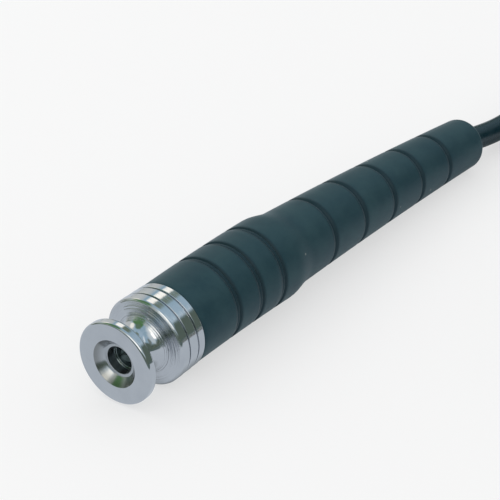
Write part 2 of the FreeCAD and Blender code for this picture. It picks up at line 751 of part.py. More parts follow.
def make_tip_pin():
    end = nipple_end - PIN_RECESS
    head_front = pin_head_x + PIN_HEAD_T
    return at_tip(turned([
        (pin_head_x, WIRE_R + FIT), (pin_head_x, PIN_HEAD_R), (head_front, PIN_HEAD_R),
        (head_front, PIN_R), (end - EDGE, PIN_R), (end, PIN_R - EDGE), (end, 0),
        (pin_hole_end, 0), (pin_hole_end, WIRE_R + FIT)]))


def make_tip_wire():
    return at_tip(rod_x(WIRE_R, -(WIRE_INSIDE + STROKE), pin_hole_end - FIT))


def make_tip_boot():
    """Stepped sleeve with ring grooves, from the cable up over the ferrule's end."""
    end = boot_start + BOOT_L
    bell_x = -TIP_SOCKET - FIT
    rib = (bell_x - boot_start) / BOOT_RIBS
    outline = [(boot_start, CABLE_R + FIT)]
    for i in range(BOOT_RIBS):
        r = boot_end_r + (boot_r - boot_end_r) * i / BOOT_RIBS
        x = boot_start + i * rib
        outline += [(x, r), (x + rib - BOOT_GROOVE_W, r)]
        outline += [(x + rib - BOOT_GROOVE_W, r - BOOT_RIB_DEPTH), (x + rib, r - BOOT_RIB_DEPTH)]
    outline += [(bell_x, boot_r), (end, boot_r), (end, ferrule_r + FIT),
                (bell_x, ferrule_r + FIT), (bell_x, CABLE_R + FIT)]
    return at_tip(turned(outline))


def laid(make):
    def build():
        shape = make()
        shape.Placement = lay.multiply(shape.Placement)
        return shape
    return build


PIECES = {
    "thumb_button": laid(make_thumb_button),
    "button_screw": laid(make_button_screw),
    "lock_washer": laid(make_lock_washer),
    "plunger": laid(make_plunger),
    "handle_wire": laid(make_handle_wire),
    "front_cap": laid(make_front_cap),
    "ferrule": laid(make_ferrule),
    "buffer_ring": laid(make_buffer_ring),
    "barrel": laid(make_barrel),
    "return_spring": laid(make_return_spring),
    "guide_bush": laid(make_guide_bush),
    "cable_anchor": laid(make_cable_anchor),
    "conduit_rear": laid(make_conduit_rear),
    "crimp_ring": laid(make_crimp_ring),
    "handle_cable": laid(make_handle_cable),
    "grip_sleeve": laid(make_grip_sleeve),
    "cable_lead": make_cable_lead,
    "cable_coil": make_cable_coil,
    "cable_tail": make_cable_tail,
    "coil_tie": make_coil_tie,
    "tip_cable": make_tip_cable,
    "tip_boot": make_tip_boot,
    "tip_ferrule": make_tip_ferrule,
    "conduit_front": make_conduit_front,
    "swivel_collar": make_swivel_collar,
    "tip_pin": make_tip_pin,
    "tip_wire": make_tip_wire,
}

print("tip origin", tuple(round(c, 4) for c in tip_origin), "forward", tuple(round(c, 6) for c in tip_forward))
for name, build in PIECES.items():
    shape = build()
    if not shape.isValid():
        print("NOT VALID", name)
    if shape.Volume < 0:
        shape.reverse()
    shape.exportStep("parts/%s.step" % name)
    box = shape.BoundBox
    print("%-14s solids %d volume %9.3f z from %.3f" % (name, len(shape.Solids), shape.Volume, box.ZMin))
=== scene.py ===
# %% [markdown]
# # A cable shutter release
#
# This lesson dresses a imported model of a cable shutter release: a thumb button in a polished
# collar, a soft ringed grip, and a sheathed cable that ends in a small threaded nipple. The
# solids come from the CAD model, at their real places. Here they get their finish, and the
# pieces that the eye rests on are modelled again with softer edges and finer rings.

# %% Load the model
import json
import math

import bpy
from mathutils import Matrix, Vector


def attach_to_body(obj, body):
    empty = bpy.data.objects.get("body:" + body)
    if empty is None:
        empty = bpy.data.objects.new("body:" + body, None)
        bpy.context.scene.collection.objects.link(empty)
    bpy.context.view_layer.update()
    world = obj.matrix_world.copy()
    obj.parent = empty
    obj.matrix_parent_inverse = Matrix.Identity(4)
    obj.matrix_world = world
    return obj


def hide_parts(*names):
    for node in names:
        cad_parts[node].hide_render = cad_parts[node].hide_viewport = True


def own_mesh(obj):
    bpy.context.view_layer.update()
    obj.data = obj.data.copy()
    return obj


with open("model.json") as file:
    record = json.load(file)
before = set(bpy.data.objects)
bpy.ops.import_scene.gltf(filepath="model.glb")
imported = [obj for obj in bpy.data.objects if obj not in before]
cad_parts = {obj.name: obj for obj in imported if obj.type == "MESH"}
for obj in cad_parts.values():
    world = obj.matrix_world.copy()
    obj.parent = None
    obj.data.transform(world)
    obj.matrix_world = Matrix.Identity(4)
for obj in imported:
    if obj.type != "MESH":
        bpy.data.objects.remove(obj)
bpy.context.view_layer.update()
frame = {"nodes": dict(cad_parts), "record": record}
NODES = frame["nodes"]
MM = 0.001
DEGREES = 180 / math.pi
print("pieces in the model:", len(NODES))

# %% [markdown]
# The release lies on a table with its front ring and its far end touching, so its axis leans
# up a little towards the cable. Everything on the handle is turned about that axis, and it is
# easiest to model each piece along X first and to lay it down afterwards.

# %% Where the handle and the camera end lie
TILT = math.radians(1.8784)
BUTTON_FACE = Vector((-49.4743, 0.0, 7.143)) * MM
TIP_START = Vector((15.5635, -52.8639, 3.95)) * MM
TIP_FORWARD = Vector((-0.997785, -0.066519, 0.0))

LAY_HANDLE = Matrix.Translation(BUTTON_FACE) @ Matrix.Rotation(-TILT, 4, "Y")
tip_turn = Vector((1, 0, 0)).rotation_difference(TIP_FORWARD).to_matrix().to_4x4()
LAY_TIP = Matrix.Translation(TIP_START) @ tip_turn
print("button axis", [round(c, 4) for c in LAY_HANDLE.to_3x3() @ Vector((1, 0, 0))])

# %% [markdown]
# ## The camera
#
# A product picture like this one is taken from well back with a long lens, which keeps the
# near disc from looking swollen. The camera stands to the left of the handle and looks down
# at about thirty degrees.

# %% Set up the camera
CAMERA_AT = Vector((-260.563, -183.199, 184.402)) * MM
CAMERA_LOOK = Vector((0.69740, 0.52104, -0.49207))

camera_data = bpy.data.cameras.new("product_camera")
camera_data.lens = 158.4
camera_data.sensor_width = 36.0
camera_data.clip_start = 0.01
camera = bpy.data.objects.new("product_camera", camera_data)
camera.location = CAMERA_AT
camera.rotation_euler = CAMERA_LOOK.to_track_quat("-Z", "Y").to_euler()
bpy.context.scene.collection.objects.link(camera)
bpy.context.scene.camera = camera
print("camera at", [round(c, 3) for c in CAMERA_AT])

# %% [markdown]
# ## The cable
#
# The cable is a steel conduit in a black sheath, so it is stiff and bends in wide arcs. It
# leaves the grip, comes down to the table, and what the picture doesn't show is wound into a
# small coil of two layers beside the handle. One smooth curve follows the whole route: the
# points before and after the coil are written down, and a loop adds those of the turns.

# %% Lay the cable's route
CABLE_R = 2.15
COIL_R = 24.2               # centre line of the outermost turn
COIL_EASE = 4.3             # straight run that eases the cable into the coil and out of it
TURN_PITCH = 2 * CABLE_R + 0.60
LAYER = 2 * CABLE_R + 0.50
COIL_MIDDLE = Vector((75.0212, -25.2, 3.0))
QUARTERS = 6                # quarter turns in the whole coil
LAYER_QUARTERS = 2          # those wound before it climbs a layer
POINTS_PER_QUARTER = 4

LEAD = [(41.4513, 0.0, 5.1308), (49.9156, 0.0, 4.4848), (58.6212, -0.6, 3.10), (65.2212, -1.0, 3.0)]
TAIL = [(64.0212, -49.4, 7.8), (54.0212, -50.2, 5.70), (43.5212, -51.0, 3.95), (34.5212, -51.6, 3.95)]


def coil_point(quarter):
    """A point of the wound cable: in along the table, up a layer, and out again on top."""
    angle = math.pi / 2 - quarter * math.pi / 2
    radius = COIL_R - TURN_PITCH * min(quarter, QUARTERS - quarter) / 4
    radius /= math.cos(math.pi / (4 * POINTS_PER_QUARTER))
    climb = min(max((quarter - LAYER_QUARTERS) / 2, 0), 1)
    return COIL_MIDDLE + Vector((math.cos(angle) * radius, math.sin(angle) * radius, LAYER * climb))


turns = [coil_point((i + 0.5) / POINTS_PER_QUARTER) for i in range(QUARTERS * POINTS_PER_QUARTER)]
coil_in = COIL_MIDDLE + Vector((0, COIL_R, 0))
coil_out = COIL_MIDDLE + Vector((0, -COIL_R, LAYER))
ease = Vector((COIL_EASE, 0, 0))
ROUTE = [Vector(p) for p in LEAD] + [coil_in - ease, coil_in]
ROUTE += turns + [coil_out, coil_out - ease] + [Vector(p) for p in TAIL]

cable_data = bpy.data.curves.new("sheathed_cable", "CURVE")
cable_data.dimensions = "3D"
spline = cable_data.splines.new("NURBS")
spline.points.add(len(ROUTE) - 1)
for point, place in zip(spline.points, ROUTE):
    point.co = (*(place * MM), 1.0)
spline.order_u = 3
spline.use_endpoint_u = True
cable_data.resolution_u = 12
cable_data.bevel_depth = CABLE_R * MM
cable_data.bevel_resolution = 7
cable_data.use_fill_caps = True
cable = bpy.data.objects.new("sheathed_cable", cable_data)
bpy.context.scene.collection.objects.link(cable)
CABLE_LENGTH = spline.calc_length()
print("cable from the grip to the camera end: %.1f mm" % (CABLE_LENGTH / MM))

# %% [markdown]
# ## Helpers for turned pieces
#
# Nearly every piece of a cable release comes off a lathe. On the bench a profile is cut and
# the bar spins, and in Blender it is the same: one vertex is extruded from corner to corner
# until it draws the profile, and the spin operator sweeps it round the axis. A small bevel
# then breaks the sharp edges, because on polished metal it is the edges that catch the light.

# %% Turn a profile on the lathe


def deselect():
    if bpy.context.mode != "OBJECT":
        bpy.ops.object.mode_set(mode="OBJECT")
    bpy.ops.object.select_all(action="DESELECT")


def apply_modifier(piece, kind, **settings):
    """Adds a modifier with these settings and applies it."""
    modifier = piece.modifiers.new(kind.lower(), kind)
    for name, value in settings.items():
        setattr(modifier, name, value)
    bpy.context.view_layer.objects.active = piece
    bpy.ops.object.modifier_apply(modifier=modifier.name)


def arc_corners(start, middle, end, count):
    """Corners along the circle through three (x, r) points."""
    (ax, ay), (bx, by), (cx, cy) = start, middle, end
    d = 2 * (ax * (by - cy) + bx * (cy - ay) + cx * (ay - by))
    ux = ((ax**2 + ay**2) * (by - cy) + (bx**2 + by**2) * (cy - ay) + (cx**2 + cy**2) * (ay - by)) / d
    uy = ((ax**2 + ay**2) * (cx - bx) + (bx**2 + by**2) * (ax - cx) + (cx**2 + cy**2) * (bx - ax)) / d
    radius = math.hypot(ax - ux, ay - uy)
    first, half, last = (math.atan2(y - uy, x - ux) for x, y in (start, middle, end))
    sweep = (last - first) % (2 * math.pi)
    if (half - first) % (2 * math.pi) > sweep:
        sweep -= 2 * math.pi
    angles = [first + sweep * i / count for i in range(count + 1)]
    return [(ux + radius * math.cos(a), uy + radius * math.sin(a)) for a in angles]


def with_supports(corners, reach):
    """Adds a corner near each end of every long run, so that it is shaded flat between them."""
    made = []
    for (x0, r0), (x1, r1) in zip(corners, corners[1:] + corners[:1]):
        made.append((x0, r0))
        run = math.hypot(x1 - x0, r1 - r0)
        if run > 4 * reach:
            for share in (reach / run, 1 - reach / run):
                made.append((x0 + (x1 - x0) * share, r0 + (r1 - r0) * share))
    return made


def turned_piece(name, corners, steps=128, rounding=0.05):
    """A piece spun about X from (x, r) corners in millimetres, the last joined to the first."""
    deselect()
    if rounding:
        corners = with_supports(corners, 1.3 * rounding)
    x, r = corners[0]
    bpy.ops.mesh.primitive_plane_add(size=0.1 * MM, location=(x * MM, 0, r * MM))
    piece = bpy.context.object
    piece.name = name
    bpy.ops.object.transform_apply(location=True)
    bpy.ops.object.mode_set(mode="EDIT")
    bpy.ops.mesh.select_mode(type="VERT")
    bpy.ops.mesh.select_all(action="SELECT")
    bpy.ops.mesh.merge(type="CENTER")
    for (x0, r0), (x1, r1) in zip(corners, corners[1:] + corners[:1]):
        step = ((x1 - x0) * MM, 0, (r1 - r0) * MM)
        bpy.ops.mesh.extrude_region_move(TRANSFORM_OT_translate={"value": step})
    bpy.ops.mesh.select_all(action="SELECT")
    bpy.ops.mesh.spin(steps=steps, angle=2 * math.pi, center=(0, 0, 0), axis=(1, 0, 0))
    bpy.ops.mesh.select_all(action="SELECT")
    bpy.ops.mesh.remove_doubles(threshold=0.0002 * MM)
    bpy.ops.mesh.normals_make_consistent(inside=False)
    bpy.ops.object.mode_set(mode="OBJECT")
    if rounding:
        apply_modifier(piece, "BEVEL", width=rounding * MM, segments=3, limit_method="ANGLE",
                       angle_limit=math.radians(25), use_clamp_overlap=True)
    smooth(piece)
    return piece


def smooth(piece):
    """Shades the piece smooth."""
    deselect()
    piece.select_set(True)
    bpy.context.view_layer.objects.active = piece
    bpy.ops.object.shade_smooth()


def close_up(piece):
    """Merges doubled vertices, fills the open ends and turns the faces outward."""
    bpy.context.view_layer.objects.active = piece
    bpy.ops.object.mode_set(mode="EDIT")
    bpy.ops.mesh.select_all(action="SELECT")
    bpy.ops.mesh.remove_doubles(threshold=0.0002 * MM)
    bpy.ops.mesh.fill_holes(sides=0)
    bpy.ops.mesh.select_all(action="SELECT")
    bpy.ops.mesh.normals_make_consistent(inside=False)
    bpy.ops.object.mode_set(mode="OBJECT")


def lay_down(piece, matrix):
    """Moves a piece modelled along X to its place, with the place in its mesh."""
    deselect()
    piece.matrix_world = matrix @ piece.matrix_world
    piece.select_set(True)
    bpy.context.view_layer.objects.active = piece
    bpy.ops.object.transform_apply(location=True, rotation=True, scale=True)


print("lathe ready")

# %% [markdown]
# ## The thumb button
#
# The button is one turned part: a flat disc for the thumb, a countersunk hole with the screw
# deep inside, a neck that sweeps in and out again in one hollow curve, and a foot
# that slides in the collar. The curves matter most, because they bend every reflection.

# %% Turn the thumb button
DISC_R = 7.0
DISC_T = 1.75
RIM = 0.50                  # rounding of the disc's edge
NECK_R = 3.55               # at the waist
NECK_END = 6.98
FOOT_R = 4.9
FOOT_END = 12.375
SINK_R = 4.05
SINK_DEPTH = 1.31
HOLE_R = 2.35
LEDGE_START = 2.95          # a turned relief at the bottom of the hole
LEDGE_END = 3.2
LEDGE_R = 2.55
WELL_R = 2.2                # round the screw's head
WEB_START = 8.775           # the web that the screw clamps
WEB_END = 10.575
SHANK_R = 1.25
SOCKET_R = 1.95             # for the plunger's end


def round_corner(x, r, reach, first, last, count=6):
    """Quarter-round corners: the circle of this reach round (x, r), from one angle to another."""
    angles = [math.radians(first + (last - first) * i / count) for i in range(count + 1)]
    return [(x + reach * math.cos(a), r + reach * math.sin(a)) for a in angles]


neck = arc_corners((DISC_T, FOOT_R), ((DISC_T + NECK_END) / 2, NECK_R), (NECK_END, FOOT_R), 28)
button_profile = [(SINK_DEPTH, 2.80), (1.16, 2.96), (0.40, 3.68), (0.0, SINK_R)]
button_profile += round_corner(RIM, DISC_R - RIM, RIM, 180, 90)
button_profile += round_corner(DISC_T - RIM, DISC_R - RIM, RIM, 90, 0)
button_profile += neck
button_profile += [(FOOT_END, FOOT_R), (FOOT_END, SOCKET_R), (WEB_END, SOCKET_R), (WEB_END, SHANK_R)]
button_profile += [(WEB_START, SHANK_R), (WEB_START, WELL_R), (LEDGE_END, WELL_R), (LEDGE_END, LEDGE_R)]
button_profile += [(LEDGE_START, LEDGE_R), (LEDGE_START, HOLE_R), (SINK_DEPTH, HOLE_R)]
button = turned_piece("thumb_button_turned", button_profile, steps=160, rounding=0.05)
lay_down(button, LAY_HANDLE)
print("button faces:", len(button.data.polygons))

# %% [markdown]
# ## The collar
#
# The collar is two turned parts screwed together: a cap with a wide ring and the shoulder that
# the button runs into, and behind it a ferrule with two narrower rings. Their edges are barely
# broken, so they stay crisp, and the grooves between the rings show as thin dark lines.

# %% Turn the collar's cap and rings
RING_R = 7.40               # the cap's wide ring
RING_END = 9.1
MIDDLE_RING = (9.45, 11.25, 7.35)       # start, end and radius
REAR_RING = (11.6, 12.95, 7.30)
GROOVE_R = 6.90             # between the rings
SHOULDER_X = 7.30
LIP_X = 7.0
LIP_R = 4.95
CAP_END = 9.275
SPIGOT_R = 5.9              # the cap's thread, in the ferrule's bore
SPIGOT_END = 11.725
FERRULE_BORE_R = 5.95
SLEEVE_R = 6.4              # what the grip is pushed over
SLEEVE_END = 17.05
EDGE_BREAK = 0.11

cap_profile = [(LIP_X, LIP_R - 0.04), (LIP_X, LIP_R), (SHOULDER_X, RING_R - 0.40)]
cap_profile += [(SHOULDER_X + 0.09, RING_R - 0.20), (SHOULDER_X + 0.22, RING_R - 0.07)]
cap_profile += [(SHOULDER_X + 0.42, RING_R), (RING_END, RING_R), (RING_END, GROOVE_R)]
cap_profile += [(CAP_END, GROOVE_R), (CAP_END, SPIGOT_R), (SPIGOT_END, SPIGOT_R), (SPIGOT_END, FOOT_R + 0.05)]
cap = turned_piece("front_cap_turned", cap_profile, steps=160, rounding=EDGE_BREAK)
lay_down(cap, LAY_HANDLE)

ring_profile = [(CAP_END, FERRULE_BORE_R), (CAP_END, GROOVE_R)]
for start, end, r in (MIDDLE_RING, REAR_RING):
    ring_profile += [(start, GROOVE_R), (start, r), (end, r), (end, GROOVE_R)]
ring_profile[-1] = (end, SLEEVE_R)
ring_profile += [(SLEEVE_END, SLEEVE_R), (SLEEVE_END, FERRULE_BORE_R)]
rings = turned_piece("ringed_ferrule_turned", ring_profile, steps=160, rounding=EDGE_BREAK)
lay_down(rings, LAY_HANDLE)
print("collar faces:", len(cap.data.polygons) + len(rings.data.polygons))

# %% [markdown]
# ## The soft grip
#
# The grip is a rubber sleeve pushed over the ferrule. Three grooves near the button have a flat
# floor between two crisp lips, five behind the step are simple rounded nicks, and the whole
# sleeve droops a little, as soft rubber does. It is turned straight, and then every vertex
# is carried onto the drooping centre line.

# %% Shape the grip's outline
GRIP_START = 13.05
GRIP_END = 99.0
END_ROUND = 1.2
STEP_START = 38.0           # the front part is thicker, and steps down between these
STEP_END = 43.2
FLAT_GROOVES = [21.9, 27.8, 33.7]
SOFT_GROOVES = [49.6, 58.87, 68.14, 77.41, 86.68]
# Half of each groove's outline, from its lip to its middle: how far from the middle, and how deep
FLAT_HALF = [(0.62, 0.0), (0.56, 0.03), (0.47, 0.34), (0.40, 0.36), (0.30, 0.24), (0.18, 0.20)]
SOFT_HALF = [(0.70, 0.0), (0.52, 0.02), (0.38, 0.10), (0.22, 0.28), (0.08, 0.36)]


def grip_radius(s):
    """Outer radius at the length s, without the grooves."""
    if s <= STEP_START:
        return 7.22 + 0.09 * (s - 12.95) / 25.05
    if s >= STEP_END:
        return 6.50 - 0.0342 * (s - STEP_END)
    share = (s - STEP_START) / 5.2
    return 7.31 - 0.81 * share * share * (3 - 2 * share)


def groove(s, half):
    """A groove round the length s, as (length, depth) from one lip to the other."""
    near = [(s - away, depth) for away, depth in half]
    return near + [(s + away, depth) for away, depth in reversed(half)]


grooves = []
for s in FLAT_GROOVES:
    grooves += groove(s, FLAT_HALF)
for s in SOFT_GROOVES:
    grooves += groove(s, SOFT_HALF)
plain = [14 + 0.75 * i for i in range(110)]
plain = [s for s in plain if all(abs(s - g) > 0.35 for g, _ in grooves)]
outline = sorted(grooves + [(s, 0.0) for s in plain])
outline = [(s, grip_radius(s) - depth) for s, depth in outline if 13.6 < s < GRIP_END - END_ROUND - 0.1]
print("grip outline corners:", len(outline))

# %% Add the grip's mouth, end and bore
mouth_r = grip_radius(GRIP_START)
mouth = [(GRIP_START, mouth_r - 0.18), (GRIP_START + 0.05, mouth_r - 0.06), (GRIP_START + 0.18, mouth_r)]
shoulder = []
for i in range(9):
    angle = math.radians(90 * i / 8)
    s = GRIP_END - END_ROUND + END_ROUND * math.sin(angle)
    shoulder.append((s, grip_radius(GRIP_END - END_ROUND) - END_ROUND * (1 - math.cos(angle))))
bore = [(GRIP_END, 2.36), (GRIP_END - 0.2, 2.24), (45.0, 2.27), (41.0, 3.6), (26.5, 3.6)]
bore += [(26.1, 5.96), (17.2, 5.96), (17.15, 6.46), (GRIP_START, 6.46)]
grip_profile = mouth + outline + shoulder + bore
print("corners in all:", len(grip_profile))

# %% Turn the grip and let it droop
DROOP_START = 15.4
# Where each stretch begins and ends, and how much it turns in a millimetre
BENDS = ((DROOP_START, 39.2, 0.00251), (39.2, 1000.0, 0.000886))


def centre_line(s):
    """Place and downward slope of the handle's centre line at the length s."""
    x, drop, slope = min(s, DROOP_START), 0.0, 0.0
    for begin, end, bend in BENDS:
        run = min(s, end) - begin
        if run > 0:
            turn = bend * run
            x += (math.sin(slope + turn) - math.sin(slope)) / bend
            drop += (math.cos(slope) - math.cos(slope + turn)) / bend
            slope += turn
    return x, drop, slope


def droop(piece):
    """Carries each vertex from the straight axis onto the centre line."""
    for vertex in piece.data.vertices:
        x, drop, slope = centre_line(vertex.co.x / MM)
        up = vertex.co.z
        vertex.co.x = x * MM + up * math.sin(slope)
        vertex.co.z = -drop * MM + up * math.cos(slope)
    piece.data.update()


grip = turned_piece("soft_grip_sleeve", grip_profile, steps=160, rounding=0)
droop(grip)
smooth(grip)
lay_down(grip, LAY_HANDLE)
print("grip faces:", len(grip.data.polygons))

# %% [markdown]
# ## The return spring
#
# Inside the collar a spring brings the button back. It doesn't show from outside, but it has
# to shorten when the button is pressed. It is wound here as a real wire.

# %% Wind the return spring
SPRING_FROM = 14.025
SPRING_TO = 22.425
SPRING_R = 3.4
SPRING_WIRE_R = 0.25
SPRING_TURNS = 4


def spring_curve():
    data = bpy.data.curves.new("return_spring_wire", "CURVE")
    data.dimensions = "3D"
    wire = data.splines.new("NURBS")
    count = SPRING_TURNS * 12
    wire.points.add(count)
    for i, point in enumerate(wire.points):
        share = i / count
        ease = share * share * (3 - 2 * share)
        x = SPRING_FROM + (SPRING_TO - SPRING_FROM) * (0.35 * share + 0.65 * ease)
        angle = 2 * math.pi * SPRING_TURNS * share
        point.co = (x * MM, SPRING_R * MM * math.sin(angle), SPRING_R * MM * math.cos(angle), 1)
    wire.order_u = 3
    wire.use_endpoint_u = True
    data.bevel_depth = SPRING_WIRE_R * MM
    data.bevel_resolution = 3
    data.resolution_u = 4
    data.use_fill_caps = True
    return data


spring_source = bpy.data.objects.new("return_spring_source", spring_curve())
bpy.context.scene.collection.objects.link(spring_source)
deselect()
spring_source.select_set(True)
bpy.context.view_layer.objects.active = spring_source
bpy.ops.object.convert(target="MESH")
spring = bpy.context.object
spring.name = "return_spring_wound"
close_up(spring)
bpy.ops.object.shade_smooth()
lay_down(spring, LAY_HANDLE)
print("spring faces:", len(spring.data.polygons))

# %% [markdown]
# ## The camera end
#
# At its far end the cable goes through a ribbed rubber boot into a crimped ferrule. A knurled
# collar turns freely on the ferrule and carries the tapered, threaded nipple, so the cable
# doesn't twist when the nipple is screwed into the shutter button.

# %% Turn the boot and the ferrule
BOOT_START = -22.0
BOOT_END = -2.0
BOOT_RIBS = 3
RIB_PITCH = 4.983
SHEATH_ROOM_R = 2.2         # the sheath with a little room
TUBE_R = 3.0                # the crimped tube that the boot grips
TUBE_ROOM_R = 3.05
CRIMP_R = 2.86

boot_profile = [(BOOT_START, SHEATH_ROOM_R), (BOOT_START, 2.52), (BOOT_START + 0.15, 2.64)]
for i in range(BOOT_RIBS):
    start = BOOT_START + RIB_PITCH * i
    r = 2.65 + 0.80 * i / BOOT_RIBS
    boot_profile += [(start + 0.5, r), (start + 3.55, r + 0.12), (start + 3.8, r)]
    boot_profile += [(start + 3.95, r - 0.20), (start + 4.75, r - 0.20)]
boot_profile += [(-7.0, 3.38), (-6.8, 3.45), (-2.3, 3.45), (BOOT_END, 3.30), (BOOT_END, TUBE_ROOM_R)]
boot_profile += [(-7.05, TUBE_ROOM_R), (-7.05, SHEATH_ROOM_R)]
boot = turned_piece("strain_boot", boot_profile, steps=96, rounding=0.06)
lay_down(boot, LAY_TIP)

ferrule_profile = [(-7.0, SHEATH_ROOM_R), (-7.0, TUBE_R), (1.2, TUBE_R), (1.35, CRIMP_R), (1.75, CRIMP_R)]
ferrule_profile += [(1.9, TUBE_R), (3.4, TUBE_R), (3.55, CRIMP_R), (3.95, CRIMP_R), (4.1, TUBE_R)]
ferrule_profile += [(7.85, TUBE_R), (8.0, 2.85), (8.0, 2.1), (13.5, 2.1), (13.5, 2.5), (14.1, 2.5)]
ferrule_profile += [(14.1, 1.35), (0.0, 1.35), (0.0, SHEATH_ROOM_R)]
crimped = turned_piece("crimped_ferrule", ferrule_profile, steps=96, rounding=0.05)
lay_down(crimped, LAY_TIP)
print("boot and ferrule faces:", len(boot.data.polygons) + len(crimped.data.polygons))

# %% [markdown]
# The knurled collar is made in three parts that are joined at the end. Its two plain rims, its
# nose and the tapered nipple come off the lathe in one profile, hollow for the ferrule's spigot
# and the pin.

# %% Turn the collar's rims and nipple
COLLAR_START = 8.3
COLLAR_END = 14.9
RIM_R = 3.45
NOSE_R = 2.45
NOSE_END = 15.9
NIPPLE_R = 1.62
NIPPLE_END = 21.4
THREAD_TO = 21.1
PIN_HOLE_R = 0.70
SPIGOT_ROOM_R = 2.15        # the ferrule's spigot with a little room
SWAGE_ROOM_R = 2.6          # and its swaged end

rim_profile = [(COLLAR_START, SPIGOT_ROOM_R), (COLLAR_START, 3.30), (8.42, RIM_R), (14.78, RIM_R)]
rim_profile += [(COLLAR_END, 3.30), (COLLAR_END, NOSE_R), (NOSE_END, NOSE_R), (NOSE_END, NIPPLE_R)]
rim_profile += [(THREAD_TO, 1.34), (NIPPLE_END, 1.08), (NIPPLE_END, PIN_HOLE_R), (14.3, PIN_HOLE_R)]
rim_profile += [(14.3, SWAGE_ROOM_R), (13.45, SWAGE_ROOM_R), (13.45, SPIGOT_ROOM_R)]
collar = turned_piece("knurled_collar", rim_profile, steps=96, rounding=0.05)
print("rim and nipple faces:", len(collar.data.polygons))

# %% [markdown]
# The knurled band starts as a circle with many corners. Every fourth corner is drawn in, which
# gives the notches of a straight knurl. The outline is extruded forward, inward, back and
# outward again, so it closes to a sleeve that leaves the middle free for the wire.

# %% Draw the knurled band and close it to a sleeve
KNURLS = 24
KNURL_DEPTH = 0.30
COLLAR_R = 3.90
BAND_START = 8.75
BAND_END = 14.45
BAND_INSIDE = 0.82          # the sleeve's inside as a share of its outside

deselect()
bpy.ops.mesh.primitive_circle_add(vertices=KNURLS * 4, radius=COLLAR_R * MM, fill_type="NOTHING",
                                  location=(BAND_START * MM, 0, 0), rotation=(0, math.pi / 2, 0))
band = bpy.context.object
bpy.ops.object.transform_apply(location=True, rotation=True)
for i, vertex in enumerate(band.data.vertices):
    if i % 4 == 0:
        scale = 1 - KNURL_DEPTH / COLLAR_R
        vertex.co.y *= scale
        vertex.co.z *= scale
bpy.ops.object.mode_set(mode="EDIT")
bpy.ops.mesh.select_all(action="SELECT")
sides = ((BAND_END - BAND_START, 1), (0, BAND_INSIDE), (BAND_START - BAND_END, 1), (0, 1 / BAND_INSIDE))
for run, share in sides:
    bpy.ops.mesh.extrude_region_move(TRANSFORM_OT_translate={"value": (run * MM, 0, 0)})
    bpy.ops.transform.resize(value=(1, share, share))
bpy.ops.mesh.select_all(action="SELECT")
bpy.ops.mesh.remove_doubles(threshold=0.001 * MM)
bpy.ops.mesh.normals_make_consistent(inside=False)
bpy.ops.object.mode_set(mode="OBJECT")
apply_modifier(band, "BEVEL", width=0.07 * MM, segments=2, limit_method="ANGLE",
               angle_limit=math.radians(20))
print("knurl faces:", len(band.data.polygons))

# %% [markdown]
# The nipple's thread is a small ridge wound along it. The screw modifier sweeps a triangle
# round the axis and forward at once, and the ridge is then drawn in towards the tip to follow
# the nipple's taper.

# %% Wind the nipple's thread
THREAD_FROM = 16.15
THREAD_PITCH = 0.50
THREAD_TURNS = 9
THREAD_RIDGE = 0.17
NIPPLE_TAPER = 0.16         # how much of its radius the nipple loses along the thread

deselect()
bpy.ops.mesh.primitive_circle_add(vertices=3, radius=THREAD_RIDGE * MM, fill_type="NOTHING",
                                  location=(THREAD_FROM * MM, 0, NIPPLE_R * MM), rotation=(math.pi / 2, 0, 0))
thread = bpy.context.object
bpy.ops.object.transform_apply(location=True, rotation=True)
apply_modifier(thread, "SCREW", axis="X", angle=2 * math.pi, screw_offset=THREAD_PITCH * MM,
               iterations=THREAD_TURNS, steps=48, render_steps=48, use_merge_vertices=False)
close_up(thread)
for vertex in thread.data.vertices:
    along = (vertex.co.x / MM - THREAD_FROM) / (THREAD_TO - THREAD_FROM)
    taper = 1 - NIPPLE_TAPER * along
    vertex.co.y *= taper
    vertex.co.z *= taper
deselect()
for part in (thread, band, collar):
    part.select_set(True)
bpy.context.view_layer.objects.active = collar
bpy.ops.object.join()
smooth(collar)
lay_down(collar, LAY_TIP)
print("collar faces:", len(collar.data.polygons))

# %% [markdown]
# ## The strap round the coil
#
# A short hook-and-loop strap holds the coil together. It is a band bent to a long loop: a
# ring is pulled apart at the top, extruded sideways to its width and given its thickness.

# %% Close the strap round the turns
STRAP_T = 0.5
STRAP_W = 4.0
STRAP_R = CABLE_R + 0.30 + 0.25         # to the middle of the strap's thickness
strap_low = Vector((COIL_MIDDLE.x + COIL_R - TURN_PITCH / 4, COIL_MIDDLE.y, COIL_MIDDLE.z))
strap_edge = (strap_low.x * MM, (strap_low.y - STRAP_W / 2) * MM, strap_low.z * MM)

deselect()
bpy.ops.mesh.primitive_circle_add(vertices=48, radius=STRAP_R * MM, fill_type="NOTHING",
                                  location=strap_edge, rotation=(math.pi / 2, 0, 0))
strap = bpy.context.object
strap.name = "hook_and_loop_strap"
bpy.ops.object.transform_apply(location=True, rotation=True)
for vertex in strap.data.vertices:
    if vertex.co.z > strap_low.z * MM:
        vertex.co.z += LAYER * MM
bpy.ops.object.mode_set(mode="EDIT")
bpy.ops.mesh.select_all(action="SELECT")
bpy.ops.mesh.extrude_region_move(TRANSFORM_OT_translate={"value": (0, STRAP_W * MM, 0)})
bpy.ops.mesh.select_all(action="SELECT")
bpy.ops.mesh.normals_make_consistent(inside=False)
bpy.ops.object.mode_set(mode="OBJECT")
apply_modifier(strap, "SOLIDIFY", thickness=STRAP_T * MM, offset=0.0)
apply_modifier(strap, "BEVEL", width=0.12 * MM, segments=2, limit_method="ANGLE",
               angle_limit=math.radians(40))
print("strap closed, faces:", len(strap.data.polygons))

# %% Lap the strap's end over itself
lap_x = strap_low.x - STRAP_R - STRAP_T
lap_middle = (lap_x * MM, strap_low.y * MM, (strap_low.z + LAYER / 2) * MM)

